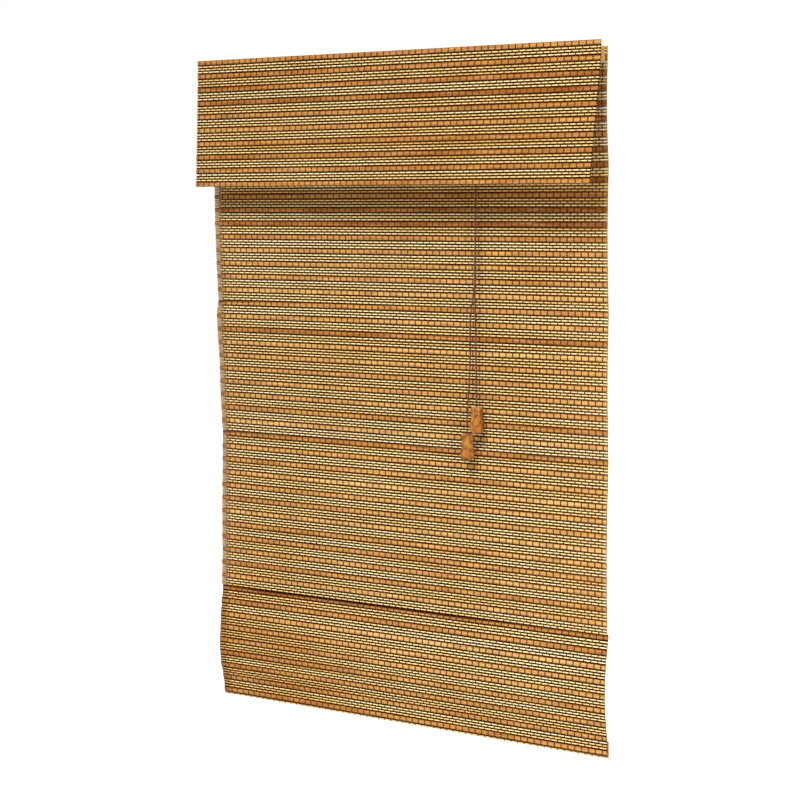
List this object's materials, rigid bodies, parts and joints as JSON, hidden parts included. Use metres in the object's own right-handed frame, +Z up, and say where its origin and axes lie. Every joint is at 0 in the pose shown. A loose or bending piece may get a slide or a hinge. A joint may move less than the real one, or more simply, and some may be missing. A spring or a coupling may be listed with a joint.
{
  "type": "woven bamboo roman blind",
  "caption": "Woven bamboo roman blind on a wooden head board, with a front valance, rear lift rings, a cord lock and pull cords that end in turned wooden tassels.",
  "frame": {"origin": "centre of the head board's top face, midway between its two mounting screw holes", "axes": "+X along the head board to the pull cords' side, +Y to the window behind the blind, +Z up"},
  "size_m": [0.646, 0.076, 0.914],
  "materials": {
    "bamboo_weave": "natural split bamboo slats and reeds with brown warp threads",
    "board_wood": "planed, unvarnished",
    "batten_wood": "planed, stained",
    "brass_fittings": "plated, polished",
    "zinc_steel": "zinc plated",
    "cord_braid": "braided",
    "tassel_wood": "turned and varnished"
  },
  "bodies": {
    "blind": {"head_board": "board_wood", "valance_mat": "bamboo_weave", "shade_mat": "bamboo_weave", "bottom_batten": "batten_wood", "mat_staples": "zinc_steel", "screw_eye_left": "brass_fittings", "screw_eye_right": "brass_fittings", "lock_frame": "zinc_steel", "lock_screws": "zinc_steel", "pulley_pin": "zinc_steel", "lift_ring_left_1": "brass_fittings", "lift_ring_left_2": "brass_fittings", "lift_ring_left_3": "brass_fittings", "lift_ring_left_4": "brass_fittings", "lift_ring_left_5": "brass_fittings", "lift_ring_right_1": "brass_fittings", "lift_ring_right_2": "brass_fittings", "lift_ring_right_3": "brass_fittings", "lift_ring_right_4": "brass_fittings", "lift_ring_right_5": "brass_fittings", "ring_ties": "cord_braid", "lift_cord_left": "cord_braid", "lift_cord_right": "cord_braid", "hem_knots": "cord_braid", "tassel_upper": "tassel_wood", "tassel_lower": "tassel_wood", "tassel_knots": "cord_braid"},
    "guide_pulley": {"guide_pulley": "brass_fittings"},
    "lock_pin": {"lock_pin": "zinc_steel"},
    "lock_roller": {"lock_roller": "brass_fittings"}
  },
  "joints": [
    {"name": "pulley_spin", "type": "hinge", "parent": "blind", "child": "guide_pulley", "pos_m": [0.1255, 0, -0.035], "axis": [0, 1, 0], "continuous": true},
    {"name": "lock_slide", "type": "slide", "parent": "blind", "child": "lock_pin", "axis": [0.5, 0, 0.866], "range_m": [0, 0.007]},
    {"name": "roller_spin", "type": "hinge", "parent": "lock_pin", "child": "lock_roller", "pos_m": [0.1371, 0, -0.04], "axis": [0, 1, 0], "continuous": true}
  ]
}
